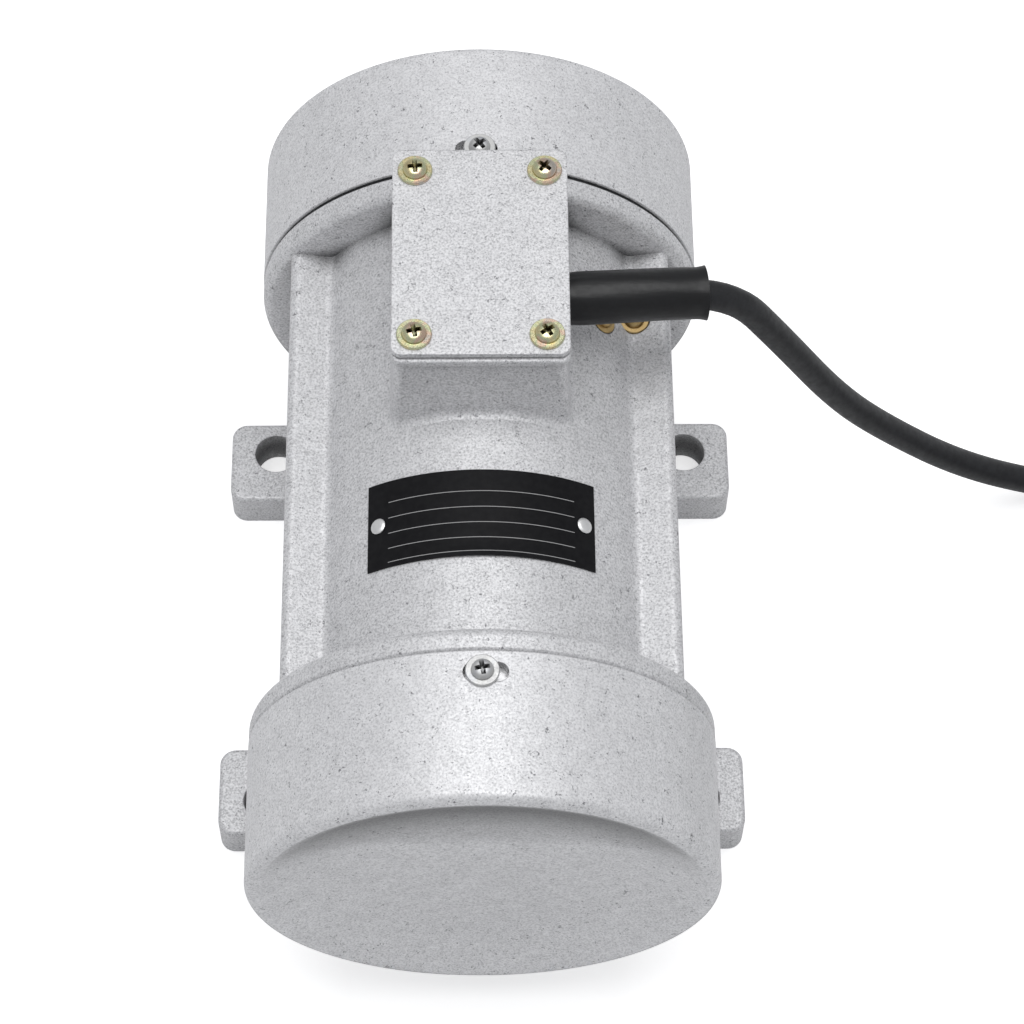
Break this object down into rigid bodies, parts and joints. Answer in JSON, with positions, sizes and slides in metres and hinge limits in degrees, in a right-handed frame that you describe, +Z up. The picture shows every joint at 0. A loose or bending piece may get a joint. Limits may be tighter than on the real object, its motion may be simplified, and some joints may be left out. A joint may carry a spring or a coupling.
{
  "type": "vibration motor",
  "caption": "Foot-mounted electric vibration motor with round end caps over eccentric weight pairs, a top junction box, and a power cord in a rubber sleeve.",
  "frame": {"origin": "on the foot plane, under the middle of the motor", "axes": "+Z up from the feet, +Y along the shaft away from the nameplate end (the junction box is on the +Y half), +X towards the side where the cord leaves"},
  "size_m": [0.4084, 0.25, 0.1738],
  "materials": {
    "cast_paint": "pale silver-grey paint with a fine speckle on rough cast aluminium",
    "bare_aluminium": "as cast, turned seats",
    "black_rubber": "matte",
    "cord_sheath": "smooth matte sheath",
    "brass": "satin",
    "yellow_zinc": "steel plated with yellow zinc",
    "white_zinc": "steel plated with white zinc",
    "black_plate": "black printed aluminium sheet",
    "pale_plastic": "moulded",
    "copper_wire": "enamelled copper wire, laced and varnished",
    "weight_iron": "sawn steel plate, oiled",
    "bright_steel": "ground or plated steel"
  },
  "bodies": {
    "housing": {"bearing_spring_washer": "bright_steel", "cable_sleeve": "black_rubber", "cord_coil": "cord_sheath", "cord_lead_in": "cord_sheath", "cord_tail": "cord_sheath", "cover_gasket": "black_rubber", "cover_screws": "yellow_zinc", "earth_screws": "yellow_zinc", "front_bearing_outer_ring": "bright_steel", "front_bearing_shield": "bare_aluminium", "front_cap": "cast_paint", "front_cap_screws": "white_zinc", "front_cap_seal": "black_rubber", "front_shield_screws": "bright_steel", "junction_box_cover": "cast_paint", "left_foot_rail": "cast_paint", "motor_housing": "cast_paint", "nameplate": "black_plate", "nameplate_rivets": "white_zinc", "plug_blades": "brass", "plug_body": "cord_sheath", "power_cord": "cord_sheath", "rear_bearing_outer_ring": "bright_steel", "rear_bearing_shield": "bare_aluminium", "rear_cap": "cast_paint", "rear_cap_screws": "white_zinc", "rear_cap_seal": "black_rubber", "rear_shield_screws": "bright_steel", "right_foot_rail": "cast_paint", "run_capacitor": "pale_plastic", "stator_core": "bright_steel", "stator_windings": "copper_wire", "terminal_block": "pale_plastic", "terminal_screws": "brass"},
    "rotor": {"shaft": "bright_steel", "rotor_core": "bright_steel", "rotor_cage": "bare_aluminium", "front_bearing_inner_ring": "bright_steel", "front_fixed_weight": "weight_iron", "front_fixed_weight_bolt": "bright_steel", "front_key": "bright_steel", "front_circlip": "bright_steel", "rear_bearing_inner_ring": "bright_steel", "rear_fixed_weight": "weight_iron", "rear_fixed_weight_bolt": "bright_steel", "rear_key": "bright_steel", "rear_circlip": "bright_steel"},
    "front_ball_set": {"front_bearing_balls": "bright_steel", "front_bearing_cage": "brass"},
    "front_adjustable": {"front_adjustable_weight": "weight_iron", "front_adjustable_weight_bolt": "bright_steel"},
    "rear_ball_set": {"rear_bearing_balls": "bright_steel", "rear_bearing_cage": "brass"},
    "rear_adjustable": {"rear_adjustable_weight": "weight_iron", "rear_adjustable_weight_bolt": "bright_steel"}
  },
  "joints": [
    {"name": "rotor_spin", "type": "hinge", "parent": "housing", "child": "rotor", "pos_m": [0, 0, 0.0888], "axis": [0, 1, 0], "continuous": true},
    {"name": "front_ball_orbit", "type": "hinge", "parent": "housing", "child": "front_ball_set", "pos_m": [0, 0, 0.0888], "axis": [0, 1, 0], "continuous": true},
    {"name": "rear_ball_orbit", "type": "hinge", "parent": "housing", "child": "rear_ball_set", "pos_m": [0, 0, 0.0888], "axis": [0, 1, 0], "continuous": true},
    {"name": "front_weight_setting", "type": "hinge", "parent": "rotor", "child": "front_adjustable", "pos_m": [0, 0, 0.0888], "axis": [0, 1, 0], "range_deg": [0, 180]},
    {"name": "rear_weight_setting", "type": "hinge", "parent": "rotor", "child": "rear_adjustable", "pos_m": [0, 0, 0.0888], "axis": [0, 1, 0], "range_deg": [0, 180]}
  ],
  "couplings": [
    {"joint": "front_ball_orbit", "follows": "rotor_spin", "ratio": 0.3836},
    {"joint": "rear_ball_orbit", "follows": "rotor_spin", "ratio": 0.3836}
  ]
}
